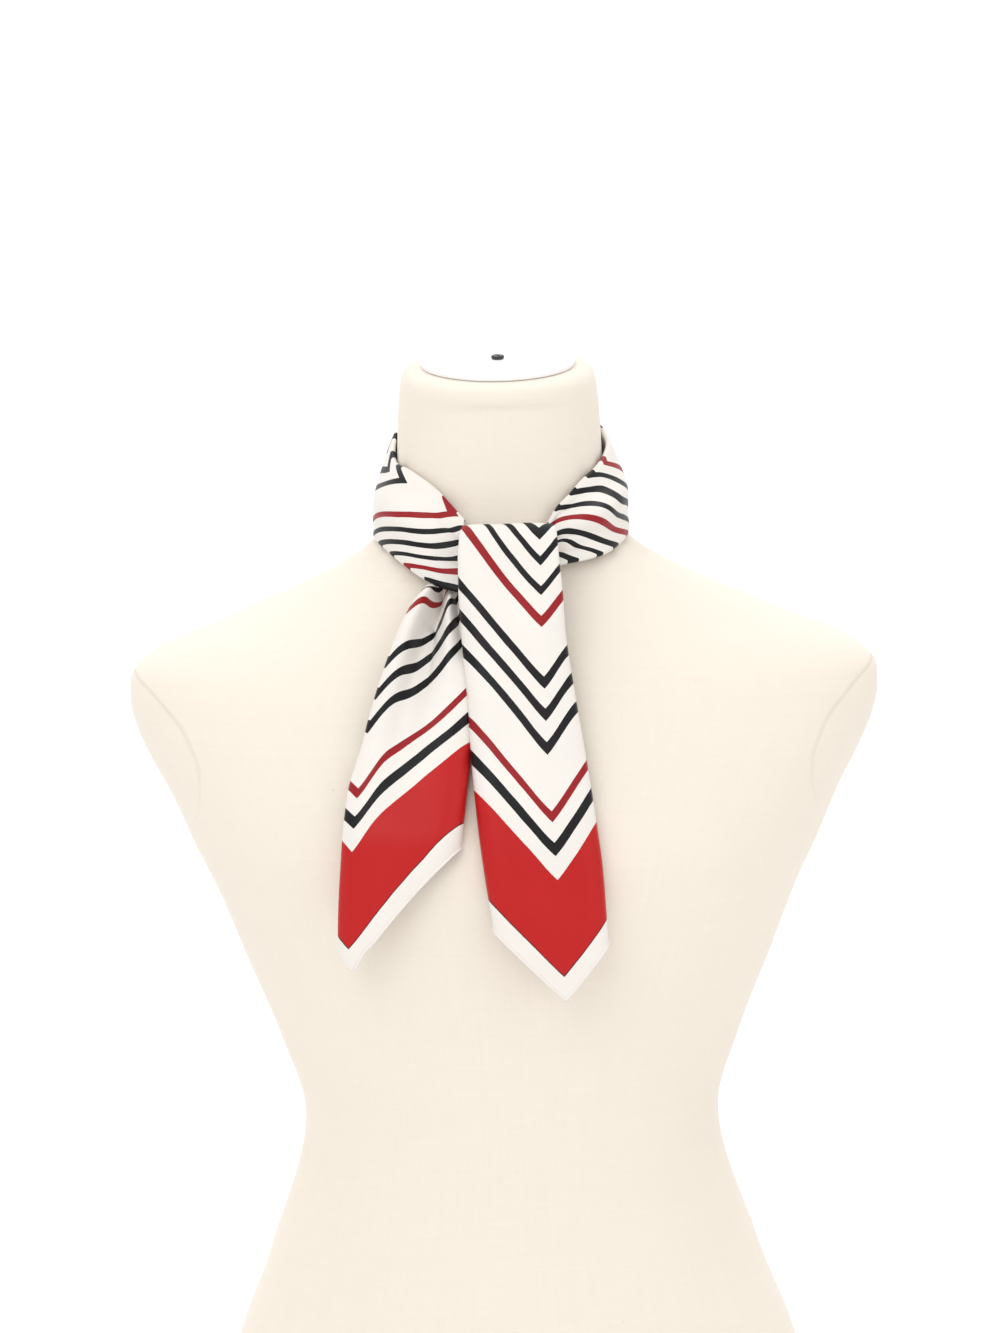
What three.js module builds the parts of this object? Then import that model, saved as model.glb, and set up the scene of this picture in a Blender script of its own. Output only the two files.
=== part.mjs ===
// A silk square scarf, folded on the bias and tied round the neck of a limbless dress form.
// Millimetres, +Z up. The form faces -Y and the origin is the middle of its flat underside.
// The cloth is a wall, a little thicker than real silk, so that every fold is a closed solid.

import * as THREE from 'three';

// Driving sizes of the cloth
const WALL = 1.2;
const LAYER_GAP = 1.2;
const FOLD_RADIUS = (WALL + LAYER_GAP) / 2;
const KNOT_FOLD_RADIUS = 3.4;
const SLIT_TOP = 0.44;
const SLIT_FOOT = 0.56;
const CREASE_WAVES = 3;

// Driving sizes of the neck cap and its screw
const CAP_RADIUS = 41;
const CAP_THICKNESS = 3;
const CAP_EDGE_ROUND = 1;
const CAP_SLOPE = 12;
const SCREW_RADIUS = 3.4;
const SCREW_HEIGHT = 1.6;
const SCREW_ROUND = 0.6;
const SEAT_GAP = 0.3;

// Fineness of the faceted surfaces
const FORM_SIDES = 48;
const FORM_STEP = 16;
const LOOP_STATIONS = 19;
const BACK_STATIONS = 25;
const KNOT_STATIONS = 7;
const TAIL_STATIONS = 25;
const DISC_SIDES = 36;
const ROUND_POINTS = 4;
const INNER_POINTS = 3;
const TURN_POINTS = 5;
const OUTER_POINTS = 9;
const FLAP_POINTS = 4;
const FACE_POINTS = 5;
const TANGENT_STEP = 1;

const IVORY_SILK = { color: 0xf1e6dc, roughness: 0.42, metalness: 0 };
const LINEN = { color: 0xf0e6d6, roughness: 0.9, metalness: 0 };
const WHITE_CAP = { color: 0xf4f4f2, roughness: 0.35, metalness: 0 };
const DARK_SCREW = { color: 0x3c3c3e, roughness: 0.4, metalness: 0.6 };

// Level sections of the form: half is the half width, front and back are the reach from the neck
// axis, power squares the outline up, and slope leans the section forward in degrees.
const FORM_SECTIONS = table('z half front back power slope', [
  [0, 152, 103, 104, 2.2, 0],
  [40, 158, 108, 112, 2.2, 0],
  [90, 153, 106, 109, 2.2, 0],
  [150, 132, 97, 92, 2.15, 0],
  [226, 111, 88, 78, 2.1, 0],
  [268, 123, 95, 82, 2.15, 0],
  [311, 140, 110, 87, 2.2, 0],
  [349, 155, 122, 91, 2.2, 0],
  [372, 166, 126, 93, 2.2, 0],
  [400, 178, 119, 96, 2.3, 0],
  [419, 188, 111, 98, 2.4, 0],
  [435, 195, 103.5, 98, 2.5, 0],
  [451, 199, 95.5, 97, 2.5, 0],
  [461.5, 199, 90, 94.5, 2.4, 0],
  [469.6, 194, 85.5, 92, 2.3, 0],
  [479, 181, 80, 88.5, 2.2, 0],
  [488, 159, 75.5, 85, 2.1, 0],
  [499, 133, 69.5, 80.5, 2.05, 0],
  [515, 97, 62.5, 73.5, 2, 0],
  [526, 77, 58.5, 69, 2, 0],
  [534, 67, 56, 66, 2, 0],
  [541.5, 61, 54, 63.5, 2, 0],
  [553, 57, 51.5, 60.5, 2, 0],
  [575, 54.5, 50, 56.5, 2, 0],
  [600, 53.5, 51, 53, 2, 0],
  [609, 52.8, 52.3, 51.5, 2, 6],
  [618, 51.5, 53.2, 49.5, 2, 11],
  [622.5, 49.5, 51.7, 47.5, 2, CAP_SLOPE],
  [624.5, 45, 47.2, 43, 2, CAP_SLOPE],
]);

// The band round the neck, read from the knot outwards. Each row joins a place on the upper fold
// to one on the lower fold: the angle round the neck from the front, the height, and the clear
// distance to the form. swell bows the outer layer and ripple waves it into two soft creases.
const LOOP_COLUMNS = 'place topAngle top topGap lowAngle low lowGap swell ripple';
const LOOP_LEFT = table(LOOP_COLUMNS, [
  [0, -17.5, 543.5, 6.5, -12, 508.5, 12.5, 1, 0],
  [1, -26, 553, 4.5, -21, 511, 11.5, 3, 0.4],
  [2, -35, 562, 3, -31, 516, 9, 4.5, 0.8],
  [3, -46, 567.5, 2, -44, 523.5, 5.2, 5.5, 1],
  [4, -60, 570.5, 1.2, -60, 530.5, 2, 5.5, 0.8],
  [5, -76, 572.5, 0.7, -78, 536, 1.5, 4.2, 0.4],
  [6, -89, 579.5, 0.6, -91, 540, 1.4, 3.4, 0.2],
  [7, -100, 586, 0.6, -100, 543, 1.4, 3.2, 0],
]);
const LOOP_RIGHT = table(LOOP_COLUMNS, [
  [0, 22.5, 541.5, 7, 18, 516.5, 11, 0.5, 0],
  [1, 29, 548.5, 5, 24, 519.5, 11, 2, 0.8],
  [2, 38, 555, 3.5, 34, 520.5, 8, 3.5, 1.6],
  [3, 48, 562, 2.5, 47, 524, 4.5, 5, 1.8],
  [4, 60, 567.5, 1.6, 61, 529.5, 2, 5.5, 1.4],
  [5, 75, 574, 0.8, 77, 535, 1.5, 4, 0.8],
  [6, 89, 581, 0.6, 91, 539, 1.4, 3, 0.4],
  [7, 100, 587, 0.6, 100, 542, 1.4, 2.8, 0],
]);
const LOOP_BACK = table(LOOP_COLUMNS, [
  [0, -100.5, 586.3, 0.6, -100.5, 543.2, 1.4, 3.2, 0],
  [1, -118, 593.3, 0.6, -118, 546.3, 1.2, 2.6, 0.5],
  [2, -145, 599.5, 0.6, -145, 550, 1, 2.2, 0.8],
  [3, -180, 602, 0.6, -180, 552, 1, 2, 0.4],
  [4, -215, 599, 0.6, -215, 549.4, 1, 2.2, 0.8],
  [5, -242, 592.7, 0.6, -242, 545.2, 1.2, 2.6, 0.5],
  [6, -259.5, 587.2, 0.6, -259.5, 542.2, 1.4, 2.8, 0],
]);
const KNOT = table(LOOP_COLUMNS, [
  [0, -15.6, 536, 8.4, -10.8, 510, 8, 5.4, 0],
  [1, 2, 536, 9.6, 2, 509, 9, 8, 0],
  [2, 20.4, 535, 10, 16.6, 513, 10, 4.8, 0],
]);

// The tails hang by the diagonal of the square. along is the distance from the corner, x y z is
// the diagonal's place, turn swings the face round the vertical, left and right are the widths of
// the face beside the diagonal, squeeze gathers the face and valley presses a fold into it.
const TAIL_COLUMNS = 'along x y z turn left right squeeze valley';
const TAIL_FRONT = table(TAIL_COLUMNS, [
  [0, 28.1, -129.6, 304.6, 2, 33, 24, 1, 0],
  [33, 26.3, -129.9, 337.5, 2, 33.5, 23.8, 1, 0],
  [64, 24.7, -129.8, 368.6, 2, 36, 23.5, 1, 0],
  [93, 22.8, -126.4, 397.2, 1, 37.5, 22, 1, 0],
  [128.5, 21.1, -118, 430.8, 0, 38.5, 19, 1, 0],
  [162, 20.4, -106.5, 461.8, 0, 39.5, 15, 1, 0],
  [194.6, 19.6, -97, 491.9, 0, 41, 12, 1, 0],
  [215, 20, -93.6, 510.8, 0, 42, 11, 1, 0],
  [232.6, 20.2, -90.5, 527.3, 0, 42.5, 9.5, 1, 0],
  [243.6, 19, -86, 538, 0, 40, 9, 1, 0],
  [252, 18.2, -79, 544, 0, 37.5, 8.5, 1, 0],
  [262, 17.4, -70.5, 541.5, 0, 35, 8, 1, 0],
]);
const TAIL_UNDER = table(TAIL_COLUMNS, [
  [0, -78, -123.4, 321.9, -8, 6.5, 52.5, 1, 0],
  [14.4, -80.5, -123.8, 334.4, -8, 6.5, 52.5, 1, 0],
  [63.6, -77.7, -124.8, 381.4, -8.5, 6.5, 53.5, 1, 0.2],
  [95.8, -74.9, -119, 408.4, -5, 6, 54.5, 1, 1.2],
  [131.2, -69.5, -109.5, 440.3, -1, 1.8, 54.5, 0.98, 3],
  [164.7, -60.3, -95.7, 470.2, 0, 1.5, 54.5, 0.88, 5.5],
  [197.6, -48.1, -80.3, 498.5, 2, 1.5, 54.5, 0.66, 6.5],
  [214, -40, -70, 509.4, 3, 1.5, 54, 0.48, 3],
  [226, -34.5, -65, 516.5, 3, 1.5, 52, 0.36, 0.6],
]);

// How far each tail's folded sides reach from the diagonal, measured along the cloth
const FRONT_FLAPS = { left: 52, right: 40 };
const UNDER_FLAPS = { left: 44, right: 46 };
const UNDER_VALLEY = { middle: 19, reach: 13 };
const NO_VALLEY = { middle: 0, reach: 1 };
const EDGE_TRIM = 0.5;
const FACE_BOW = 1.2;

// How far the hem at the right of each tail rolls up, and how soon the roll dies out above it
const UNDER_CURL = { right: 9.5, fade: 10 };
const FRONT_CURL = { right: 1.5, fade: 8 };
const ROLL_DEPTH = 0.5;

// A table of numbers as rows with named columns
function table(columns, rows) {
  const names = columns.split(' ');
  return rows.map((row) => Object.fromEntries(names.map((name, i) => [name, row[i]])));
}

// Slope of one column at a row, held flat at a peak so that the curve never overshoots
function slopeAt(rows, key, name, i) {
  const rise = (a, b) => (rows[b][name] - rows[a][name]) / (rows[b][key] - rows[a][key]);
  if (i === 0) return rise(0, 1);
  if (i === rows.length - 1) return rise(i - 1, i);
  const before = rise(i - 1, i);
  const after = rise(i, i + 1);
  return before * after <= 0 ? 0 : (2 * before * after) / (before + after);
}

// All columns of a table at one value of its key column, by smooth curves through the rows
function readAt(rows, key, value) {
  let i = 0;
  while (i < rows.length - 2 && value > rows[i + 1][key]) i += 1;
  const span = rows[i + 1][key] - rows[i][key];
  const f = (value - rows[i][key]) / span;
  const result = {};
  for (const name of Object.keys(rows[0])) {
    const start = slopeAt(rows, key, name, i) * span;
    const end = slopeAt(rows, key, name, i + 1) * span;
    result[name] = (2 * f ** 3 - 3 * f ** 2 + 1) * rows[i][name] + (f ** 3 - 2 * f ** 2 + f) * start
      + (3 * f ** 2 - 2 * f ** 3) * rows[i + 1][name] + (f ** 3 - f ** 2) * end;
  }
  return result;
}

function mix(a, b, f) {
  return a + (b - a) * f;
}

function steps(from, to, count) {
  return Array.from({ length: count }, (_, i) => mix(from, to, i / (count - 1)));
}

// A geometry from points and faces, turned right side out
function solid(points, faces) {
  const corners = faces.map((face) => face.map((i) => points[i]));
  const volume = corners.reduce((sum, [a, b, c]) => sum + a.dot(b.clone().cross(c)), 0);
  const turned = volume < 0 ? faces.map(([a, b, c]) => [a, c, b]) : faces;
  const geometry = new THREE.BufferGeometry().setFromPoints(points);
  geometry.setIndex(turned.flat());
  geometry.computeVertexNormals();
  return geometry;
}

// A closed solid through level rings, with a fan of faces over each end
function loft(rings) {
  const sides = rings[0].length;
  const points = rings.flat();
  const faces = [];
  for (let j = 0; j < rings.length - 1; j += 1) {
    for (let i = 0; i < sides; i += 1) {
      const a = j * sides + i;
      const b = j * sides + ((i + 1) % sides);
      faces.push([a, b, b + sides], [a, b + sides, a + sides]);
    }
  }
  for (const [start, flip] of [[0, true], [(rings.length - 1) * sides, false]]) {
    const ring = points.slice(start, start + sides);
    const middle = ring.reduce((sum, p) => sum.add(p), new THREE.Vector3()).divideScalar(sides);
    points.push(middle);
    for (let i = 0; i < sides; i += 1) {
      const pair = [start + i, start + ((i + 1) % sides)];
      faces.push(flip ? [pair[1], pair[0], points.length - 1] : [...pair, points.length - 1]);
    }
  }
  return solid(points, faces);
}

// A wall of cloth either side of a grid of points, closed along its four edges
function clothWall(grid) {
  const rows = grid.length;
  const columns = grid[0].length;
  const at = (j, i) => grid[Math.min(Math.max(j, 0), rows - 1)][Math.min(Math.max(i, 0), columns - 1)];
  const outer = [];
  const inner = [];
  for (let j = 0; j < rows; j += 1) {
    for (let i = 0; i < columns; i += 1) {
      const along = at(j + 1, i).clone().sub(at(j - 1, i));
      const across = at(j, i + 1).clone().sub(at(j, i - 1));
      const side = along.cross(across).setLength(WALL / 2);
      outer.push(grid[j][i].clone().add(side));
      inner.push(grid[j][i].clone().sub(side));
    }
  }
  const faces = [];
  const back = rows * columns;
  const quad = (a, b, c, d) => faces.push([a, b, c], [a, c, d]);
  const index = (j, i) => j * columns + i;
  for (let j = 0; j < rows - 1; j += 1) {
    for (let i = 0; i < columns - 1; i += 1) {
      const [a, b, c, d] = [index(j, i), index(j, i + 1), index(j + 1, i + 1), index(j + 1, i)];
      quad(a, b, c, d);
      quad(back + d, back + c, back + b, back + a);
    }
  }
  for (let i = 0; i < columns - 1; i += 1) {
    quad(index(0, i + 1), index(0, i), back + index(0, i), back + index(0, i + 1));
    const last = rows - 1;
    quad(index(last, i), index(last, i + 1), back + index(last, i + 1), back + index(last, i));
  }
  for (let j = 0; j < rows - 1; j += 1) {
    quad(index(j, 0), index(j + 1, 0), back + index(j + 1, 0), back + index(j, 0));
    const last = columns - 1;
    quad(index(j + 1, last), index(j, last), back + index(j, last), back + index(j + 1, last));
  }
  return solid([...outer, ...inner], faces);
}

// One level section of the form, leaned forward by its slope
function formRing(section) {
  const lean = Math.tan(THREE.MathUtils.degToRad(section.slope));
  return steps(0, 2 * Math.PI, FORM_SIDES + 1).slice(0, -1).map((turn) => {
    const round = (value) => Math.sign(value) * Math.abs(value) ** (2 / section.power);
    const x = section.half * round(Math.sin(turn));
    const y = round(-Math.cos(turn)) * (Math.cos(turn) > 0 ? section.front : section.back);
    return new THREE.Vector3(x, y, section.z + lean * y);
  });
}

function formBody() {
  const heights = [];
  for (let i = 0; i < FORM_SECTIONS.length - 1; i += 1) {
    const [low, high] = [FORM_SECTIONS[i].z, FORM_SECTIONS[i + 1].z];
    const count = Math.ceil((high - low) / FORM_STEP);
    heights.push(...steps(low, high, count + 1).slice(0, -1));
  }
  heights.push(FORM_SECTIONS.at(-1).z);
  return loft(heights.map((z) => formRing(readAt(FORM_SECTIONS, 'z', z))));
}

// Reach of the form from the neck axis at an angle from the front, in degrees, and a height
function formReach(angle, z) {
  const section = readAt(FORM_SECTIONS, 'z', z);
  const turn = THREE.MathUtils.degToRad(angle);
  const depth = Math.cos(turn) > 0 ? section.front : section.back;
  const sum = Math.abs(Math.sin(turn) / section.half) ** section.power
    + Math.abs(Math.cos(turn) / depth) ** section.power;
  return sum ** (-1 / section.power);
}

// The fold line of the band, from the slit on its inner side round both folds and back to the
// slit: share is the share of the way down, out the distance from the inner layer and past the
// distance beyond the upper or lower edge.
function bandFold(radius) {
  const inner = (from, to) => steps(from, to, INNER_POINTS).map((share) => ({ share, out: 0, past: 0 }));
  const turnOver = (share, way) => steps(0, Math.PI, TURN_POINTS).slice(1, -1).map((turn) => ({
    share,
    out: radius * (1 - way * Math.cos(turn)),
    past: radius * Math.sin(turn) * (share ? 1 : -1),
  }));
  const outer = steps(0, 1, OUTER_POINTS).map((share) => ({ share, out: 2 * radius, past: 0 }));
  return [
    ...inner(SLIT_TOP, 0),
    ...turnOver(0, 1),
    ...outer,
    ...turnOver(1, -1),
    ...inner(1, SLIT_FOOT),
  ];
}

// One section of the band round the neck
function bandSection(row, radius) {
  const topReach = formReach(row.topAngle, row.top) + row.topGap + WALL / 2;
  const lowReach = formReach(row.lowAngle, row.low) + row.lowGap + WALL / 2;
  const length = Math.hypot(lowReach - topReach, row.top - row.low);
  const down = { reach: (lowReach - topReach) / length, z: (row.low - row.top) / length };
  return bandFold(radius).map(({ share, out, past }) => {
    const bow = 4 * share * (1 - share);
    const wave = Math.sin(CREASE_WAVES * Math.PI * share) * Math.sqrt(bow);
    const layer = out / (2 * radius);
    const lift = out + (row.swell * bow - row.ripple * wave) * layer;
    const reach = mix(topReach, lowReach, share) + down.reach * past - down.z * lift;
    const z = mix(row.top, row.low, share) + down.z * past + down.reach * lift;
    const turn = THREE.MathUtils.degToRad(mix(row.topAngle, row.lowAngle, share));
    return new THREE.Vector3(reach * Math.sin(turn), -reach * Math.cos(turn), z);
  });
}

function neckBand(rows, stations, radius) {
  const places = steps(rows[0].place, rows.at(-1).place, stations);
  return clothWall(places.map((place) => bandSection(readAt(rows, 'place', place), radius)));
}

// Where a point at a width from the diagonal lies once both sides of the tail are folded back
function foldedWidth(width, left, right) {
  const side = Math.sign(width) || 1;
  const turnStart = (side < 0 ? left : right) - FOLD_RADIUS;
  const past = Math.abs(width) - turnStart;
  if (past <= 0) return { across: width, behind: 0 };
  const halfTurn = Math.PI * FOLD_RADIUS;
  if (past < halfTurn) {
    const turn = past / FOLD_RADIUS;
    const out = FOLD_RADIUS * Math.sin(turn);
    return { across: side * (turnStart + out), behind: FOLD_RADIUS * (1 - Math.cos(turn)) };
  }
  return { across: side * (turnStart - (past - halfTurn)), behind: 2 * FOLD_RADIUS };
}

function diagonalPoint(rows, along) {
  const row = readAt(rows, 'along', along);
  return new THREE.Vector3(row.x, row.y, row.z);
}

// One point of a tail, from its place on the flat square
function tailPoint(rows, along, width, rolled, valley) {
  const row = readAt(rows, 'along', along);
  const below = diagonalPoint(rows, along - TANGENT_STEP);
  const upward = diagonalPoint(rows, along + TANGENT_STEP).sub(below).normalize();
  const turn = THREE.MathUtils.degToRad(row.turn);
  const sideways = new THREE.Vector3(Math.cos(turn), Math.sin(turn), 0);
  sideways.addScaledVector(upward, -sideways.dot(upward)).normalize();
  const backward = upward.clone().cross(sideways).normalize();
  const { across, behind } = foldedWidth(width, row.left, row.right);
  const middle = (row.right - row.left) / 2;
  const half = (row.right + row.left) / 2;
  const bow = FACE_BOW * ((across - middle) / half) ** 2;
  const press = row.valley * Math.exp(-(((across - valley.middle) / valley.reach) ** 2));
  return diagonalPoint(rows, along)
    .addScaledVector(sideways, across * row.squeeze)
    .addScaledVector(backward, behind + bow + press + rolled * ROLL_DEPTH);
}

// Widths across a tail, closer together where the cloth turns over at each fold
function tailWidths(rows, flaps) {
  const { left, right } = rows[0];
  const bend = Math.PI * FOLD_RADIUS;
  const turned = (edge) => steps(0, 1, TURN_POINTS).map((f) => edge - FOLD_RADIUS + bend * f);
  const leftSide = turned(left).map((width) => -width).reverse();
  const rightSide = turned(right);
  return [
    ...steps(-flaps.left, leftSide[0], FLAP_POINTS).slice(0, -1),
    ...leftSide,
    ...steps(leftSide.at(-1), 0, FACE_POINTS).slice(1, -1),
    ...steps(0, rightSide[0], FACE_POINTS).slice(0, -1),
    ...rightSide,
    ...steps(rightSide.at(-1), flaps.right, FLAP_POINTS).slice(1),
  ];
}

// A tail from the square's own edges up to the knot, its folds following the table
function tail(rows, flaps, valley, curl) {
  const top = rows.at(-1).along - EDGE_TRIM;
  const lowest = rows[0];
  const widths = tailWidths(rows, flaps);
  const grid = steps(0, 1, TAIL_STATIONS).map((rise) => widths.map((width) => {
    const along = mix(Math.abs(width) + EDGE_TRIM, top, rise);
    const row = readAt(rows, 'along', along);
    const outward = Math.min(Math.max(width / lowest.right, 0), 1);
    const rolled = outward * curl.right * Math.exp((Math.abs(width) - along) / curl.fade);
    const [from, to] = width < 0 ? [lowest.left, row.left] : [lowest.right, row.right];
    const share = Math.min(Math.abs(width) / from, 1);
    const shifted = width + Math.sign(width) * (to - from) * share;
    return tailPoint(rows, along + rolled, shifted, rolled, valley);
  }));
  return clothWall(grid);
}

// A disc with rounded edges, standing on the ground of its own frame
function disc(radius, height, round) {
  const corner = (turn, level) => {
    const out = radius - round + round * Math.cos(turn);
    return new THREE.Vector2(out, level + round * Math.sin(turn));
  };
  const profile = [
    new THREE.Vector2(0, 0),
    ...steps(-Math.PI / 2, 0, ROUND_POINTS).map((turn) => corner(turn, round)),
    ...steps(0, Math.PI / 2, ROUND_POINTS).map((turn) => corner(turn, height - round)),
    new THREE.Vector2(0, height),
  ];
  return new THREE.LatheGeometry(profile, DISC_SIDES).rotateX(Math.PI / 2);
}

function piece(name, geometry, finish) {
  const mesh = new THREE.Mesh(geometry, new THREE.MeshStandardMaterial(finish));
  mesh.name = name;
  return mesh;
}

// The cap and its screw, on the sloping top of the neck
function neckTop() {
  const rim = FORM_SECTIONS.at(-1);
  const top = new THREE.Group();
  const centre = (rim.back - rim.front) / 2;
  const slope = THREE.MathUtils.degToRad(rim.slope);
  top.position.set(0, centre, rim.z + centre * Math.tan(slope));
  top.rotation.x = slope;
  const cap = piece('form_neck_cap', disc(CAP_RADIUS, CAP_THICKNESS, CAP_EDGE_ROUND), WHITE_CAP);
  cap.position.z = SEAT_GAP;
  const screw = piece('form_cap_screw', disc(SCREW_RADIUS, SCREW_HEIGHT, SCREW_ROUND), DARK_SCREW);
  screw.position.z = SEAT_GAP + CAP_THICKNESS + SEAT_GAP;
  top.add(cap, screw);
  return top;
}

const scarfOnForm = new THREE.Group();
scarfOnForm.add(
  piece('form_body', formBody(), LINEN),
  neckTop(),
  piece('scarf_loop_left', neckBand(LOOP_LEFT, LOOP_STATIONS, FOLD_RADIUS), IVORY_SILK),
  piece('scarf_loop_right', neckBand(LOOP_RIGHT, LOOP_STATIONS, FOLD_RADIUS), IVORY_SILK),
  piece('scarf_loop_back', neckBand(LOOP_BACK, BACK_STATIONS, FOLD_RADIUS), IVORY_SILK),
  piece('scarf_knot', neckBand(KNOT, KNOT_STATIONS, KNOT_FOLD_RADIUS), IVORY_SILK),
  piece('scarf_tail_under', tail(TAIL_UNDER, UNDER_FLAPS, UNDER_VALLEY, UNDER_CURL), IVORY_SILK),
  piece('scarf_tail_front', tail(TAIL_FRONT, FRONT_FLAPS, NO_VALLEY, FRONT_CURL), IVORY_SILK),
);

export default scarfOnForm;
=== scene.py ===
"""A striped silk square, folded on the bias and tied in a half knot round the neck of a linen form.

Lengths in the tables are millimetres. The form faces -Y and stands on the floor at z = 0. A point
of the silk is known by its place on the flat square: along, from a corner up the diagonal, and
width, square to the diagonal and positive on the viewer's right of a tail. The silk's UV map holds
those places in metres, measured from two sides of the square, so the stripes follow the cloth.
"""
import math

import bmesh
import bpy
from bpy.props import FloatProperty, FloatVectorProperty, IntProperty, PointerProperty
from mathutils import Matrix, Vector


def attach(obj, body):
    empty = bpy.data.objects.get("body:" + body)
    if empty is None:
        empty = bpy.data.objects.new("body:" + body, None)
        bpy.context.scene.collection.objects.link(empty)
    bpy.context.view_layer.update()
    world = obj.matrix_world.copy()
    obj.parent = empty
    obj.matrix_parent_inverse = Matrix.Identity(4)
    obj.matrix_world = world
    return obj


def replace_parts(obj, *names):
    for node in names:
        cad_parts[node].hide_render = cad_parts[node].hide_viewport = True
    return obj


bl_info = {
    "name": "Silk square on a dress form",
    "version": (1, 0, 0),
    "blender": (4, 5, 0),
    "location": "3D View > Sidebar > Scarf",
    "description": "Builds a striped silk square tied round the neck of a linen dress form",
    "category": "Add Mesh",
}

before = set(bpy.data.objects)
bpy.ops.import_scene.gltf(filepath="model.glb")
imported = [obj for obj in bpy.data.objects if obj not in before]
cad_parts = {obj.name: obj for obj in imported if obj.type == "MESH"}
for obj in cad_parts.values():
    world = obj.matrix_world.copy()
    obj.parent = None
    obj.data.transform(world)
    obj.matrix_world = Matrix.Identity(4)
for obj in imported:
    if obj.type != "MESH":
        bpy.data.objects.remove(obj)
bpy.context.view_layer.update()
MM = 0.001

# The silk square and how its layers lie
SQUARE_SIDE = 650.0
SQUARE_DIAGONAL = SQUARE_SIDE * math.sqrt(2)
WALL = 1.2
FOLD_RADIUS = 1.2
KNOT_FOLD_RADIUS = 3.4
SLIT_TOP = 0.44
SLIT_FOOT = 0.56
CREASE_WAVES = 3
CREASE_LEAD = 0.15
CREASE_FADE = 1.5
EDGE_TRIM = 0.5
FACE_BOW = 1.2
SIDE_DROP = 6.0
SIDE_REACH = 12.0
ROLL_DEPTH = 0.5
TANGENT_STEP = 1.0
SETTLE_ROUNDS = 3
WELD = 0.00001
FLAT_MAP = "flat_square"
WEAVE_MAP = "weave"


def table(columns, rows):
    names = columns.split()
    return [dict(zip(names, row)) for row in rows]


# Level sections of the form: half its width, its depths to front and back, how square it is, and
# how far it leans forward in degrees
FORM_SECTIONS = table("z half front back power slope", [
    [0, 152, 103, 104, 2.2, 0],
    [40, 158, 108, 112, 2.2, 0],
    [90, 153, 106, 109, 2.2, 0],
    [150, 132, 97, 92, 2.15, 0],
    [226, 111, 88, 78, 2.1, 0],
    [268, 123, 95, 82, 2.15, 0],
    [311, 140, 110, 87, 2.2, 0],
    [349, 155, 122, 91, 2.2, 0],
    [372, 166, 126, 93, 2.2, 0],
    [400, 178, 119, 96, 2.3, 0],
    [419, 188, 111, 98, 2.4, 0],
    [435, 195, 103.5, 98, 2.5, 0],
    [451, 199, 95.5, 97, 2.5, 0],
    [461.5, 199, 90, 94.5, 2.4, 0],
    [469.6, 194, 85.5, 92, 2.3, 0],
    [479, 181, 80, 88.5, 2.2, 0],
    [488, 159, 75.5, 85, 2.1, 0],
    [499, 133, 69.5, 80.5, 2.05, 0],
    [515, 97, 62.5, 73.5, 2, 0],
    [526, 77, 58.5, 69, 2, 0],
    [534, 67, 56, 66, 2, 0],
    [541.5, 61, 54, 63.5, 2, 0],
    [553, 57, 51.5, 60.5, 2, 0],
    [575, 54.5, 50, 56.5, 2, 0],
    [600, 53.5, 51, 53, 2, 0],
    [609, 52.8, 52.3, 51.5, 2, 6],
    [618, 51.5, 53.2, 49.5, 2, 11],
    [622.5, 49.5, 51.7, 47.5, 2, 12],
    [624.5, 45, 47.2, 43, 2, 12],
])

# Sections of the band round the neck. Angles are degrees from the front, negative on the viewer's
# left.
BAND_COLUMNS = "place topAngle top topGap lowAngle low lowGap swell ripple"
LOOP_LEFT = table(BAND_COLUMNS, [
    [0, -17.5, 543.5, 6.5, -12, 508.5, 12.5, 1, 0],
    [1, -26, 551, 4.5, -21, 511, 11.5, 3, 0.4],
    [2, -35, 558.5, 3, -31, 516, 9, 4.5, 0.8],
    [3, -46, 564.5, 2, -44, 523.5, 5.2, 5.5, 1],
    [4, -60, 569.5, 1.2, -60, 530.5, 2, 5.5, 0.8],
    [5, -76, 572.5, 0.7, -78, 536, 1.5, 4.2, 0.4],
    [6, -89, 579.5, 0.6, -91, 540, 1.4, 3.4, 0.2],
    [7, -100, 586, 0.6, -100, 543, 1.4, 3.2, 0],
])
LOOP_RIGHT = table(BAND_COLUMNS, [
    [0, 22.5, 541.5, 7, 18, 518.5, 11, 0.5, 0],
    [1, 29, 548.5, 5, 24, 522, 11, 2, 1.2],
    [2, 38, 555, 3.5, 34, 523.5, 8, 3.5, 2.4],
    [3, 48, 562, 2.5, 47, 526, 4.5, 4.5, 2.6],
    [4, 60, 567.5, 1.6, 61, 530.5, 2, 4.2, 2],
    [5, 75, 574, 1.2, 77, 535.5, 1.5, 3.8, 1.2],
    [6, 89, 581, 1.8, 91, 539, 1.4, 3.6, 0.4],
    [7, 100, 587, 0.6, 100, 542, 1.4, 2.8, 0],
])
LOOP_BACK = table(BAND_COLUMNS, [
    [0, -100.5, 586.3, 0.6, -100.5, 543.2, 1.4, 3.2, 0],
    [1, -118, 593.3, 0.6, -118, 546.3, 1.2, 2.6, 0.5],
    [2, -145, 599.5, 0.6, -145, 550, 1, 2.2, 0.8],
    [3, -180, 602, 0.6, -180, 552, 1, 2, 0.4],
    [4, -215, 599, 0.6, -215, 549.4, 1, 2.2, 0.8],
    [5, -242, 592.7, 0.6, -242, 545.2, 1.2, 2.6, 0.5],
    [6, -259.5, 587.2, 0.6, -259.5, 542.2, 1.4, 2.8, 0],
])
KNOT = table(BAND_COLUMNS, [
    [0, -15.6, 536, 8.4, -10.8, 510, 8, 5.4, 0],
    [1, 2, 536, 9.6, 2, 509, 9, 8, 0],
    [2, 20.4, 535, 10, 16.6, 513, 10, 4.8, 0],
])

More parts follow.
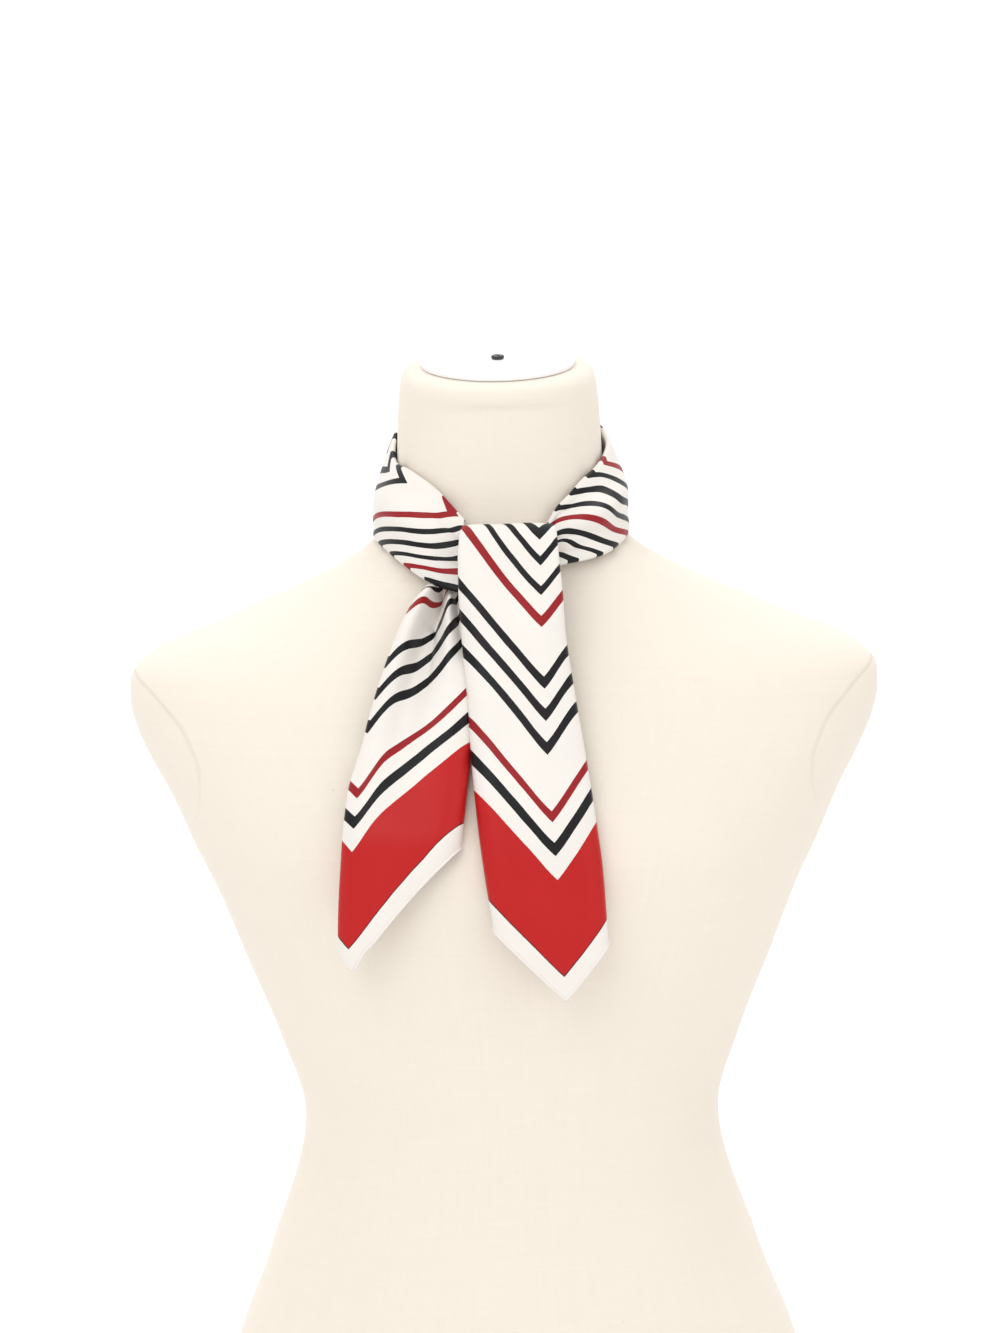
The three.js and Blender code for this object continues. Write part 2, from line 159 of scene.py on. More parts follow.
# Where each section of the band lies on the flat square, at five shares of the way down its face:
# how far along the diagonal, and how wide of it. The left loop and the back are measured from the
# front tail's corner, and the right loop from the under tail's. From the sides of the neck to its
# back the widths stay the same.
PRINT_COLUMNS = "place t0 t1 t2 t3 t4 w0 w1 w2 w3 w4"
ALONG_COLUMNS = ("t0", "t1", "t2", "t3", "t4")
WIDTH_COLUMNS = ("w0", "w1", "w2", "w3", "w4")
SHARES = (0, 0.25, 0.5, 0.75, 1)
NECK_WIDTHS = (-5.0, 9.8, 24.5, 39.3, 54.0)
PRINT_LEFT = table(PRINT_COLUMNS, [
    [0, 323.4, 315, 308.8, 303.8, 301.5, 1.8, 15.5, 28.8, 42.9, 54.9],
    [1, 333, 328.5, 324.3, 317, 308.4, -5, 9.6, 26.1, 44.9, 64.7],
    [2, 344, 341.6, 339.2, 331.9, 320.2, -8, 7, 24.3, 45.6, 70.4],
    [3, 354, 354, 353.5, 348.4, 340.2, -8.6, 7.8, 25.2, 46.7, 70.5],
    [4, 364.5, 366, 367.5, 365.3, 360.4, -8.4, 9.6, 27.5, 47.5, 68],
    [5, 377, 378.5, 380, 379.5, 377, -7, 10, 27, 44, 61],
    [6, 389, 390, 391, 391, 390, -5.5, 9.8, 25, 40.3, 55.5],
    [7, 400, 400.5, 401, 401, 400.5, *NECK_WIDTHS],
])
PRINT_RIGHT = table(PRINT_COLUMNS, [
    [0, 268.2, 256.7, 252.4, 246.2, 245.2, 0, 5, 18.6, 33.8, 44.1],
    [1, 279.4, 268, 261.6, 255.5, 255, 0, 7, 19.9, 35.3, 45.5],
    [2, 293, 282.5, 275.9, 270.4, 267.4, 0, 9.4, 19.2, 34.8, 48.3],
    [3, 306.6, 296.4, 292.4, 287.8, 284.4, -0.2, 9.7, 19, 34.6, 49.7],
    [4, 317.2, 310.5, 310.6, 306.3, 302.5, -0.6, 10.8, 18, 33.9, 50.3],
    [5, 335.6, 330, 328, 324.6, 321.5, -2.2, 10.6, 20.5, 35.6, 51.7],
    [6, 350, 347, 345.5, 343, 341, -4, 9.8, 23, 37.5, 53],
    [7, 362, 361.5, 361, 361, 361, *NECK_WIDTHS],
])
PRINT_BACK = table(PRINT_COLUMNS, [
    [0, 400.5, 401, 401.5, 401.5, 401, *NECK_WIDTHS],
    [1, 419, 419.5, 420, 420, 419.5, *NECK_WIDTHS],
    [2, 446.5, 447, 447.5, 447.5, 447, *NECK_WIDTHS],
    [3, 479, 479, 479.5, 479.5, 479, *NECK_WIDTHS],
    [4, 512, 512, 512, 512, 512, *NECK_WIDTHS],
    [5, 539.5, 539.5, 539.5, 539.5, 539.5, *NECK_WIDTHS],
    [6, 556.7, 557.2, 557.7, 557.7, 557.7, *NECK_WIDTHS],
])
PRINT_KNOT = table(PRINT_COLUMNS, [
    [0, 318, 314, 310, 305, 300, -20, -10, 0, 10, 20],
    [1, 300, 298, 295, 293, 290, -20, -10, 0, 10, 20],
    [2, 282, 282, 281, 281, 280, -20, -10, 0, 10, 20],
])

# The tails, from the square's corner up its diagonal: where the diagonal hangs, how the tail is
# turned, how far it reaches to both folds, and how it is drawn in below the knot
TAIL_COLUMNS = "along x y z turn left right squeeze valley"
TAIL_FRONT = table(TAIL_COLUMNS, [
    [0, 28.1, -129.6, 304.6, 2, 33, 24, 1, 0],
    [33, 26.3, -129.9, 337.5, 2, 33.5, 23.8, 1, 0],
    [64, 24.7, -129.8, 368.6, 2, 36, 23.5, 1, 0],
    [93, 22.8, -126.4, 397.2, 1, 37.5, 22, 1, 0],
    [128.5, 21.1, -118, 430.8, 0, 38.5, 19, 1, 0],
    [162, 20.4, -106.5, 461.8, 0, 39.5, 15, 1, 0],
    [194.6, 19.6, -97, 491.9, 0, 41, 12, 1, 0],
    [215, 19.7, -93.6, 510.8, 0, 42, 11, 1, 0],
    [232.6, 19.7, -90.5, 527.3, 0, 42, 9.5, 1, 0],
    [243.6, 19.5, -86.2, 538.1, 0, 41, 9, 1, 0],
    [252, 19.3, -79.2, 544.2, 0, 39.5, 8.5, 1, 0],
    [262, 19.1, -70.6, 541.8, 0, 37.5, 8, 1, 0],
])
TAIL_UNDER = table(TAIL_COLUMNS, [
    [0, -78, -123.4, 321.9, -8, 6.5, 52.5, 1, 0],
    [14.4, -80.5, -123.8, 334.4, -8, 6.5, 52.5, 1, 0],
    [63.6, -77.7, -124.8, 381.4, -8.5, 6.5, 53.5, 1, 0.2],
    [95.8, -74.9, -119, 408.4, -5, 6, 54.5, 1, 1.2],
    [131.2, -69.5, -109.5, 440.3, -1, 1.8, 54.5, 0.98, 3],
    [164.7, -60.3, -95.7, 470.2, 0, 1.5, 54.5, 0.88, 5.5],
    [197.6, -48.1, -80.3, 498.5, 2, 1.5, 54.5, 0.66, 6.5],
    [214, -40, -70, 509.4, 3, 1.5, 54, 0.48, 3],
    [226, -34.5, -65, 516.5, 3, 1.5, 52, 0.36, 0.6],
])

# How far the knot has drawn the cloth up, at six widths across each tail
DRAWN_COLUMNS = "along d0 d1 d2 d3 d4 d5"
DRAWN_ACROSS = ("d0", "d1", "d2", "d3", "d4", "d5")
FRONT_DRAWN = table(DRAWN_COLUMNS, [
    [0, 0, 0, 0, -0.4, 0, 0.6],
    [33, 4.6, 3, 1.6, -0.8, 0.4, 2.2],
    [64, 7.2, 4.7, 2.1, -1.7, 0, 2.9],
    [93, 8.6, 5.7, 1.3, -3.2, -0.6, 3.8],
    [128.5, 10.1, 6.3, 1.3, -3.2, 0.5, 5.5],
    [162, 12, 7.4, 2.3, -2.3, 2.6, 6.8],
    [194.6, 12.3, 7.4, 2.6, -1.4, 3, 7.2],
    [215, 12.9, 7.1, 1.9, -0.8, 3, 6.7],
    [232.6, 15.1, 8.8, 2.8, -0.5, 2.4, 5.2],
    [243.6, 17.8, 11.4, 3.6, -1.1, 1.7, 3.6],
    [252, 20.6, 14.2, 4.6, -1.6, 0.4, 2],
    [262, 24, 17.6, 6, -2, -0.8, 0.4],
])
UNDER_DRAWN = table(DRAWN_COLUMNS, [
    [0, -1.4, -1.2, 1, 5.5, 9.5, 12.5],
    [14.4, -1.1, -1, 2.4, 7, 11.2, 14],
    [50, -0.4, 0, 6.4, 10.8, 14, 16.4],
    [80, 0.3, 0.8, 9.4, 12.8, 15.4, 18],
    [115, 0.5, 1.6, 12, 12.8, 15.6, 20],
    [148, -1, 3.4, 10.2, 9.2, 14.6, 21.6],
    [180, -3.2, 3.4, 5.8, 8.6, 13, 20.4],
    [198, -4.4, -0.6, 1, 8.2, 14, 19.8],
    [210, -5, -3, -4.2, 6.6, 15, 20.6],
    [222, -6.4, -6.6, -9, 2, 14, 20.6],
])

# flaps: how far the cloth reaches behind, left and right of the diagonal. valley: the middle and
# reach of the fold that gathers it. curl: how far its lower edge curls back on the viewer's right,
# and over what length that fades. full: where the roundness of its sides starts to fade, and where
# it has gone.
FRONT_WIDTHS = (-42, -28, -14, 0, 12, 24)
UNDER_WIDTHS = (-6, 0, 12, 26, 40, 54)
FRONT_SHAPE = {"flaps": (52, 40), "valley": (0, 1), "curl": (1.5, 8), "full": (195, 250),
               "drawn": FRONT_DRAWN, "widths": FRONT_WIDTHS}
UNDER_SHAPE = {"flaps": (44, 64), "valley": (19, 13), "curl": (9.5, 10), "full": (180, 235),
               "drawn": UNDER_DRAWN, "widths": UNDER_WIDTHS}

# Creases pressed into the cloth. On the band each runs from one place and share of the way down to
# another, on a tail from one point of the flat square to another. A ridge has a negative depth, and
# the lower the power, the sharper the fold.
CREASE_COLUMNS = "u0 v0 u1 v1 depth before after power"
LEFT_CREASES = table(CREASE_COLUMNS, [
    [0, 0.3, 2.4, 0.24, 1.8, 0.09, 0.05, 2],
    [0, 0.62, 2.6, 0.7, 2, 0.1, 0.06, 2],
    [0, 0.86, 1.6, 0.92, 1.2, 0.05, 0.05, 2],
])
RIGHT_CREASES = table(CREASE_COLUMNS, [
    [0.1, 0.43, 3.6, 0.82, 4.2, 0.16, 0.06, 1.2],
    [0, 0.16, 3.2, 0.12, 2.4, 0.08, 0.05, 1.6],
    [0, 0.7, 2.8, 0.88, 3.4, 0.08, 0.05, 1.6],
])
FRONT_CREASES = table(CREASE_COLUMNS, [
    [40, -16, 165, -24, 0.8, 9, 9, 2],
    [250, -20, 175, -12, 1, 7, 9, 2],
])
UNDER_CREASES = table(CREASE_COLUMNS, [
    [212, 8, 130, 5, -7.5, 10, 7, 2],
    [218, 21, 150, 27, 7.5, 6, 2.4, 1.1],
    [214, 31, 160, 38, -6.5, 4.5, 6, 2],
    [214, 41, 170, 48, 3, 5, 3, 1.2],
    [188, 14, 85, 22, 4, 8, 7, 2],
])

# Mesh fineness
INNER_STEPS = 8
TURN_STEPS = 8
FACE_STEPS = 96
BAND_STEPS = 72
BACK_STEPS = 110
TAIL_STEPS = 170
KNOT_STEPS = 24
FORM_SIDES = 192
FORM_STEPS = 200
HEM_SIDES = 8
DISC_SIDES = 96

# Rolled hem, set in by a share of the tail's length, and the loose threads: where each ends, to the
# right, forward and up from the corner
HEM_RISE = 0.004
TUBE_END = 0.35
THREAD_ENDS = ((3.5, -2.0, -6.5), (5.0, -1.0, -3.0), (0.5, -1.5, -5.0))
THREAD_BEND = 1.5
THREAD_RADIUS = 0.18
THREAD_SIDES = 6
THREAD_POINTS = 9

# Neck cap and its screw, on the sloping top of the neck
CAP_RADIUS = 41.0
CAP_THICKNESS = 3.0
CAP_EDGE = 1.0
SCREW_RADIUS = 3.4
SCREW_HEIGHT = 1.6
SCREW_EDGE = 0.5
SCREW_SLOT_WIDTH = 0.9
SCREW_SLOT_DEPTH = 0.7
SEAT_GAP = 0.3

# Bottom edge of the form, and its mean reach in metres for the weave
FOOT_ROUND = 2.0
WEAVE_REACH = 0.11

# Seams of the shoulder plates, an oval on each side of the form that fades downwards
# Each seam is pressed in as a groove and also drawn in the linen's colour as a line of painted
# shade
PLATE_Y = -2.0
PLATE_Z = 422.0
PLATE_HALF_DEPTH = 68.0
PLATE_HALF_HEIGHT = 45.0
PLATE_OUT = 140.0
SEAM_SHARPNESS = 42.0
SEAM_FADE = 14.0
SEAM_FADE_START = 5.3

# Where the printed stripes lie, in millimetres from the square's nearest side
STRIPES = [
    ("edge", 9.6, 10.1),
    ("band", 10.1, 44.9),
    ("edge", 44.9, 45.3),
    ("black", 53.6, 58.4),
    ("red", 65.9, 69.7),
    ("black", 90.6, 95.0),
    ("black", 102.4, 106.8),
    ("black", 114.4, 118.6),
    ("red", 137.5, 142.0),
    ("black", 149.3, 153.4),
    ("black", 160.6, 164.5),
    ("black", 171.0, 175.4),
    ("red", 183.5, 187.9),
    ("black", 195.3, 199.7),
    ("black", 206.7, 211.1),
    ("black", 218.4, 222.8),
    ("red", 230.2, 234.6),
    ("black", 253.3, 257.7),
    ("black", 265.0, 269.4),
    ("black", 276.7, 281.1),
    ("red", 300.0, 304.4),
    ("black", 311.7, 316.1),
]
STRIPE_SPLIT = 145.0

# Camera
VIEW_TARGET = Vector((-0.0019, 0.0, 0.4634))
VIEW_DISTANCE = 2.2
VIEW_ELEVATION = 5.0
VIEW_ROLL = 1.1
VIEW_LENS = 111.3
VIEW_SENSOR = 36.0

# White sweep in metres: a level floor, a quarter circle behind the form and an upright backdrop
SWEEP_FRONT = -3.2
SWEEP_BEND = 2.2
SWEEP_RADIUS = 0.8
SWEEP_TOP = 3.6
SWEEP_HALF_WIDTH = 3.5


def slope_at(rows, key, name, i):
    def slope(low, high):
        return (rows[high][name] - rows[low][name]) / (rows[high][key] - rows[low][key])
    if i == 0:
        return slope(0, 1)
    if i == len(rows) - 1:
        return slope(i - 1, i)
    before = slope(i - 1, i)
    after = slope(i, i + 1)
    return 2 * before * after / (before + after) if before * after > 0 else 0.0


def read_at(rows, key, value):
    """One row of a table at any value of its key, on smooth curves through the rows."""
    i = 0
    while i < len(rows) - 2 and value > rows[i + 1][key]:
        i += 1
    low = rows[i]
    high = rows[i + 1]
    span = high[key] - low[key]
    f = min(max((value - low[key]) / span, 0.0), 1.0)
    row = {}
    for name in low:
        start = slope_at(rows, key, name, i) * span
        end = slope_at(rows, key, name, i + 1) * span
        row[name] = (
            (2 * f ** 3 - 3 * f ** 2 + 1) * low[name]
            + (f ** 3 - 2 * f ** 2 + f) * start
            + (3 * f ** 2 - 2 * f ** 3) * high[name]
            + (f ** 3 - f ** 2) * end
        )
    return row


def mix(a, b, f):
    return a + (b - a) * f


def read_across(row, columns, places, at):
    """A value between named columns of one row, whose places are given."""
    line = [{"at": place, "value": row[column]} for place, column in zip(places, columns)]
    return read_at(line, "at", at)["value"]


def spread(start, end, count):
    return [mix(start, end, i / (count - 1)) for i in range(count)]


def signed_power(value, power):
    return math.copysign(abs(value) ** power, value)


def crease_depth(creases, u, v):
    """How deep the creases press at one point, deepest where each starts."""
    depth = 0.0
    for crease in creases:
        share = (u - crease["u0"]) / (crease["u1"] - crease["u0"])
        if share < -CREASE_LEAD or share > 1:
            continue
        centre = mix(crease["v0"], crease["v1"], share)
        fade = math.cos(max(share, 0.0) * math.pi / 2) ** CREASE_FADE
        start = min(1.0, (share + CREASE_LEAD) / CREASE_LEAD)
        reach = crease["before"] if v < centre else crease["after"]
        near = math.exp(-(abs(v - centre) / reach) ** crease["power"])
        depth += crease["depth"] * fade * start * near
    return depth


def link(name, mesh):
    """Puts a finished mesh in the scene, riding on the row's one body."""
    piece = bpy.data.objects.new(name, mesh)
    bpy.context.scene.collection.objects.link(piece)
    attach(piece, "root")
    return piece


def shaded(mesh, material):
    mesh.shade_smooth()
    mesh.materials.append(material)
    return mesh


def shaped_grid(columns, rows, place, map_name):
    """A grid whose point at a column and row goes to its place, a point and map coordinates."""
    bm = bmesh.new()
    uv = bm.loops.layers.uv.new(map_name)
    bmesh.ops.create_grid(bm, x_segments=columns - 1, y_segments=rows - 1, size=0.5)
    flat = {}
    for vert in bm.verts:
        column = round((vert.co.x + 0.5) * (columns - 1))
        row = round((vert.co.y + 0.5) * (rows - 1))
        point, flat[vert] = place(column, row)
        vert.co = point * MM
    for face in bm.faces:
        for loop in face.loops:
            loop[uv].uv = flat[loop.vert]
    return bm


def to_mesh(bm, name):
    mesh = bpy.data.meshes.new(name)
    bm.to_mesh(mesh)
    bm.free()
    return mesh


def close_tube(bm):
    """Welds a rolled up grid along its seam and closes its two ends."""
    bmesh.ops.remove_doubles(bm, verts=bm.verts, dist=WELD)
    bmesh.ops.holes_fill(bm, edges=bm.edges, sides=0)
    bmesh.ops.recalc_face_normals(bm, faces=bm.faces)


def flat_place(along, width):
    """Map coordinates of a point of the square, in metres from two of its sides."""
    return ((along - width) / math.sqrt(2) * MM, (along + width) / math.sqrt(2) * MM)


def form_reach(angle, z):
    """Reach of the form from the neck axis at an angle from the front and a height."""
    section = read_at(FORM_SECTIONS, "z", z)
    turn = math.radians(angle)
    depth = section["front"] if math.cos(turn) > 0 else section["back"]
    power = section["power"]
    total = abs(math.sin(turn) / section["half"]) ** power + abs(math.cos(turn) / depth) ** power
    return total ** (-1 / power)


def form_point(turn, z):
    section = read_at(FORM_SECTIONS, "z", z)
    depth = section["front"] if math.cos(turn) > 0 else section["back"]
    x = section["half"] * signed_power(math.sin(turn), 2 / section["power"])
    y = depth * signed_power(-math.cos(turn), 2 / section["power"])
    return Vector((x, y, section["z"] + math.tan(math.radians(section["slope"])) * y))


def band_fold(radius):
    """The fold line of the band, from the slit on its inner side round both folds and back."""
    line = [(share, 0.0, 0.0, -share) for share in spread(SLIT_TOP, 0, INNER_STEPS)]
    for turn in spread(0, math.pi, TURN_STEPS)[1:-1]:
        line.append((0.0, radius * (1 - math.cos(turn)), -radius * math.sin(turn), 0.0))
    line += [(share, 2 * radius, 0.0, share) for share in spread(0, 1, FACE_STEPS)]
    for turn in spread(0, math.pi, TURN_STEPS)[1:-1]:
        line.append((1.0, radius * (1 + math.cos(turn)), radius * math.sin(turn), 1.0))
    line += [(share, 0.0, 0.0, 2 - share) for share in spread(1, SLIT_FOOT, INNER_STEPS)]
    return line


def band_point(row, radius, fold, creases, printed):
    """One point of the band and its place on the flat square."""
    share, out, past, unrolled = fold
    top_reach = form_reach(row["topAngle"], row["top"]) + row["topGap"] + WALL / 2
    low_reach = form_reach(row["lowAngle"], row["low"]) + row["lowGap"] + WALL / 2
    length = math.hypot(low_reach - top_reach, row["top"] - row["low"])
    down_reach = (low_reach - top_reach) / length
    down_z = (row["low"] - row["top"]) / length
    bow = 4 * share * (1 - share)
    wave = math.sin(CREASE_WAVES * math.pi * share) * math.sqrt(bow)
    layer = out / (2 * radius)
    pressed = crease_depth(creases, row["place"], share) * math.sqrt(bow)
    lift = out + (row["swell"] * bow - row["ripple"] * wave - pressed) * layer
    reach = mix(top_reach, low_reach, share) + down_reach * past - down_z * lift
    z = mix(row["top"], row["low"], share) + down_z * past + down_reach * lift
    turn = math.radians(mix(row["topAngle"], row["lowAngle"], share))
    point = Vector((reach * math.sin(turn), -reach * math.cos(turn), z))
    along = read_across(printed, ALONG_COLUMNS, SHARES, share)
    width = read_across(printed, WIDTH_COLUMNS, SHARES, share)
    if unrolled < 0:
        width = 2 * printed["w0"] - width
    elif unrolled > 1:
        width = 2 * printed["w4"] - width
    return point, flat_place(along, width)


def neck_band(rows, print_rows, stations, radius, creases=()):
    fold = band_fold(radius)
    places = spread(rows[0]["place"], rows[-1]["place"], stations)
    sections = [read_at(rows, "place", place) for place in places]
    prints = [read_at(print_rows, "place", place) for place in places]

    def place(column, row):
        return band_point(sections[row], radius, fold[column], creases, prints[row])

    return shaped_grid(len(fold), stations, place, FLAT_MAP)


def folded_width(width, left, right):
    """Where a width from the diagonal lies once both sides of the tail are folded back."""
    side = -1 if width < 0 else 1
    turn_start = (left if side < 0 else right) - FOLD_RADIUS
    past = abs(width) - turn_start
    if past <= 0:
        return width, 0.0
    half_turn = math.pi * FOLD_RADIUS
    if past < half_turn:
        turn = past / FOLD_RADIUS
        across = side * (turn_start + FOLD_RADIUS * math.sin(turn))
        return across, FOLD_RADIUS * (1 - math.cos(turn))
    return side * (turn_start - (past - half_turn)), 2 * FOLD_RADIUS


def diagonal_point(rows, along):
    row = read_at(rows, "along", along)
    return Vector((row["x"], row["y"], row["z"]))


def tail_point(rows, along, width, rolled, shape, creases):
    """One point of a tail, from its place on the flat square."""
    row = read_at(rows, "along", along)
    below = diagonal_point(rows, along - TANGENT_STEP)
    upward = (diagonal_point(rows, along + TANGENT_STEP) - below).normalized()
    turn = math.radians(row["turn"])
    sideways = Vector((math.cos(turn), math.sin(turn), 0))
    sideways = (sideways - upward * sideways.dot(upward)).normalized()
    backward = upward.cross(sideways).normalized()
    across, behind = folded_width(width, row["left"], row["right"])
    middle = (row["right"] - row["left"]) / 2
    half = (row["right"] + row["left"]) / 2
    out = min(abs((across - middle) / half), 1)
    bow = FACE_BOW * out ** 2
    if behind < FOLD_RADIUS:
        inward = min(half * (1 - out) / SIDE_REACH, 1)
        bow -= SIDE_DROP * math.sqrt(1 - (1 - inward) ** 2) * swollen(shape, along)
    valley_middle, valley_reach = shape["valley"]
    press = row["valley"] * math.exp(-((across - valley_middle) / valley_reach) ** 2)
    crease = crease_depth(creases, along, across)
    press += crease if behind < FOLD_RADIUS else max(crease, 0)
    point = Vector((row["x"], row["y"], row["z"]))
    point += sideways * (across * row["squeeze"])
    point += backward * (behind + bow + press + rolled * ROLL_DEPTH)
    return point


def swollen(shape, along):
    """How full a tail is, less and less towards the knot."""
    full, flat = shape["full"]
    return min(max((flat - along) / (flat - full), 0), 1)


def drawn_up(shape, along, width):
    """How far the knot has drawn up a point of the flat square."""
    row = read_at(shape["drawn"], "along", along)
    return read_across(row, DRAWN_ACROSS, shape["widths"], width)


def tail_widths(rows, flaps):
    left = rows[0]["left"]
    right = rows[0]["right"]
    bend = math.pi * FOLD_RADIUS
    left_turn = [-(left - FOLD_RADIUS + bend * f) for f in spread(1, 0, TURN_STEPS)]
    right_turn = [right - FOLD_RADIUS + bend * f for f in spread(0, 1, TURN_STEPS)]
    face = FACE_STEPS // 2
    widths = spread(-flaps[0], left_turn[0], INNER_STEPS)[:-1] + left_turn
    widths += spread(left_turn[-1], 0, face)[1:-1] + spread(0, right_turn[0], face)[:-1]
    return widths + right_turn + spread(right_turn[-1], flaps[1], INNER_STEPS)[1:]


def tail_place(rows, shape, creases, width, rise):
    """A point at one width and share of the way up from the square's edge to the knot."""
    top = rows[-1]["along"] - EDGE_TRIM
    lowest = rows[0]
    side = "left" if width < 0 else "right"
    share = min(abs(width) / lowest[side], 1)
    edge = abs(width) + EDGE_TRIM
    low = edge + drawn_up(shape, edge, width)
    along = mix(low, top, rise)
    row = read_at(rows, "along", along)
    shifted = width + math.copysign((row[side] - lowest[side]) * share, width)
    flat = along
    for _ in range(SETTLE_ROUNDS):
        flat = along - drawn_up(shape, flat, shifted)
    outward = min(max(width / lowest["right"], 0), 1)
    curl, fade = shape["curl"]
    rolled = outward * curl * math.exp((low - along) / fade)
    point = tail_point(rows, along, shifted, rolled, shape, creases)
    return point, flat_place(max(flat, abs(shifted)), shifted)


def tail(rows, shape, creases):
    widths = tail_widths(rows, shape["flaps"])
    rises = spread(0, 1, TAIL_STEPS)

    def place(column, row):
        return tail_place(rows, shape, creases, widths[column], rises[row])

    return shaped_grid(len(widths), TAIL_STEPS, place, FLAT_MAP)


def colour_setting(name, description, default):
    return FloatVectorProperty(name=name, description=description, default=default,
                               min=0, max=1, subtype="COLOR")


def length_setting(name, description, default, low, high):
    return FloatProperty(name=name, description=description, default=default,
                         min=low, max=high, subtype="DISTANCE", unit="LENGTH")


def power_setting(name, description, default):
    return FloatProperty(name=name, description=description, default=default,
                         min=0, max=500, unit="POWER")


class SilkSquareSettings(bpy.types.PropertyGroup):
    """Sizes and colours of the printed silk square"""
    thickness: length_setting("Thickness", "Thickness of the silk", 0.0004, 0.0001, 0.001)
    hem_radius: length_setting("Hem radius", "Radius of the rolled hem", 0.0008, 0.0003, 0.001)
    ground: colour_setting("Ground", "Ivory ground of the silk", (0.82, 0.78, 0.73))
    black: colour_setting("Black stripes", "Charcoal of the narrow stripes", (0.007, 0.007, 0.008))
    red: colour_setting("Red stripes", "Crimson of the narrow stripes", (0.30, 0.010, 0.014))
    band: colour_setting("Red band", "Scarlet of the broad band inside the hem",
                         (0.49, 0.010, 0.010))
    edge: colour_setting("Band outline", "Thin dark outline of the red band", (0.09, 0.008, 0.012))
    roughness: FloatProperty(
        name="Roughness",
        description="Roughness of the silk's sheen",
        default=0.42,
        min=0,
        max=1,
        subtype="FACTOR",
    )
    twill: length_setting("Twill", "Spacing of the twill ribs", 0.0006, 0.0002, 0.002)


class LinenFormSettings(bpy.types.PropertyGroup):
    """Sizes and colours of the dress form"""
    linen: colour_setting("Linen", "Cream of the linen cover", (0.83, 0.76, 0.665))
    thread: length_setting("Thread", "Spacing of the linen threads", 0.0007, 0.0003, 0.003)
    cap: colour_setting("Neck cap", "White of the neck cap", (0.93, 0.93, 0.94))
    slot_turn: FloatProperty(
        name="Screw turn",
        description="How far the slot of the screw is turned",
        default=math.radians(25),
        subtype="ANGLE",
        unit="ROTATION",
    )


class StudioSettings(bpy.types.PropertyGroup):
    """Floor, backdrop and light"""
    backdrop: colour_setting("Backdrop", "White of the floor and backdrop", (0.93, 0.93, 0.93))
    surround: FloatProperty(
        name="Surround",
        description="Strength of the even white light",
        default=0.84,
        min=0,
        max=5,
    )
    key: power_setting("Key light", "Power of the large light in front", 16.5)
    backdrop_light: power_setting("Backdrop light", "Power of the light on the backdrop", 60.0)
    sides: IntProperty(
        name="Backdrop steps",
        description="Steps in the curve between floor and backdrop",
        default=24,
        min=4,
        max=64,
    )


def new_material(name):
    material = bpy.data.materials.new(name)
    material.use_nodes = True
    tree = material.node_tree
    tree.nodes.clear()
    output = tree.nodes.new("ShaderNodeOutputMaterial")
    shader = tree.nodes.new("ShaderNodeBsdfPrincipled")
    tree.links.new(shader.outputs["BSDF"], output.inputs["Surface"])
    return material, tree, shader


def math_node(tree, operation, first, second=None, clamp=False):
    """A Math node; each input is a socket or a number."""
    node = tree.nodes.new("ShaderNodeMath")
    node.operation = operation
    node.use_clamp = clamp
    for socket, value in zip(node.inputs, (first, second)):
        if isinstance(value, bpy.types.NodeSocket):
            tree.links.new(value, socket)
        elif value is not None:
            socket.default_value = value
    return node.outputs["Value"]


def scaled(tree, value, factor, base, clamp=False):
    """A value times a factor, on top of a base."""
    result = math_node(tree, "MULTIPLY_ADD", value, factor, clamp)
    result.node.inputs[2].default_value = base
    return result


def mapped(tree, vector, location=(0, 0, 0), scale=(1, 1, 1)):
    node = tree.nodes.new("ShaderNodeMapping")
    node.inputs["Location"].default_value = location
    node.inputs["Scale"].default_value = scale
    tree.links.new(vector, node.inputs["Vector"])
    return node.outputs["Vector"]


def noise(tree, vector, scale, detail):
    node = tree.nodes.new("ShaderNodeTexNoise")
    node.inputs["Scale"].default_value = scale
    node.inputs["Detail"].default_value = detail
    tree.links.new(vector, node.inputs["Vector"])
    return node.outputs["Fac"]


def ribs(tree, vector, spacing, direction="X"):
    """Fine parallel ribs across the map, at a spacing in metres."""
    node = tree.nodes.new("ShaderNodeTexWave")
    node.wave_type = "BANDS"
    node.bands_direction = direction
    node.wave_profile = "SIN"
    node.inputs["Scale"].default_value = math.pi / (10 * spacing)
    tree.links.new(vector, node.inputs["Vector"])
    return node.outputs["Fac"]


def ramp(tree, factor, stops, interpolation="LINEAR"):
    """A colour ramp through stops of position and colour."""
    node = tree.nodes.new("ShaderNodeValToRGB")
    band = node.color_ramp
    band.interpolation = interpolation
    while len(band.elements) < len(stops):
        band.elements.new(1.0)
    for element, (position, colour) in zip(band.elements, stops):
        element.position = position
        element.color = (*colour, 1.0)
    tree.links.new(factor, node.inputs["Fac"])
    return node.outputs["Color"]


def mix_colour(tree, factor, first, second, blend="MIX"):
    node = tree.nodes.new("ShaderNodeMix")
    node.data_type = "RGBA"
    node.blend_type = blend
    sockets = [s for s in node.inputs if s.enabled]
    for socket, value in zip(sockets, (factor, first, second)):
        if isinstance(value, bpy.types.NodeSocket):
            tree.links.new(value, socket)
        elif isinstance(value, (int, float)):
            socket.default_value = value
        else:
            socket.default_value = (*value, 1.0)
    return next(s for s in node.outputs if s.enabled)


def bumped(tree, shader, height, strength, distance):
    node = tree.nodes.new("ShaderNodeBump")
    node.inputs["Strength"].default_value = strength
    node.inputs["Distance"].default_value = distance
    tree.links.new(height, node.inputs["Height"])
    tree.links.new(node.outputs["Normal"], shader.inputs["Normal"])


def stripe_stops(low, high, colours):
    """Constant stops for the stripes between two distances, as shares of the way between them."""
    stops = [(0.0, colours["ground"])]
    starts = [start for _, start, _ in STRIPES]
    for colour, start, end in STRIPES:
        if low <= start < high:
            stops.append(((start - low) / (high - low), colours[colour]))
            if end not in starts:
                stops.append(((end - low) / (high - low), colours["ground"]))
    return stops


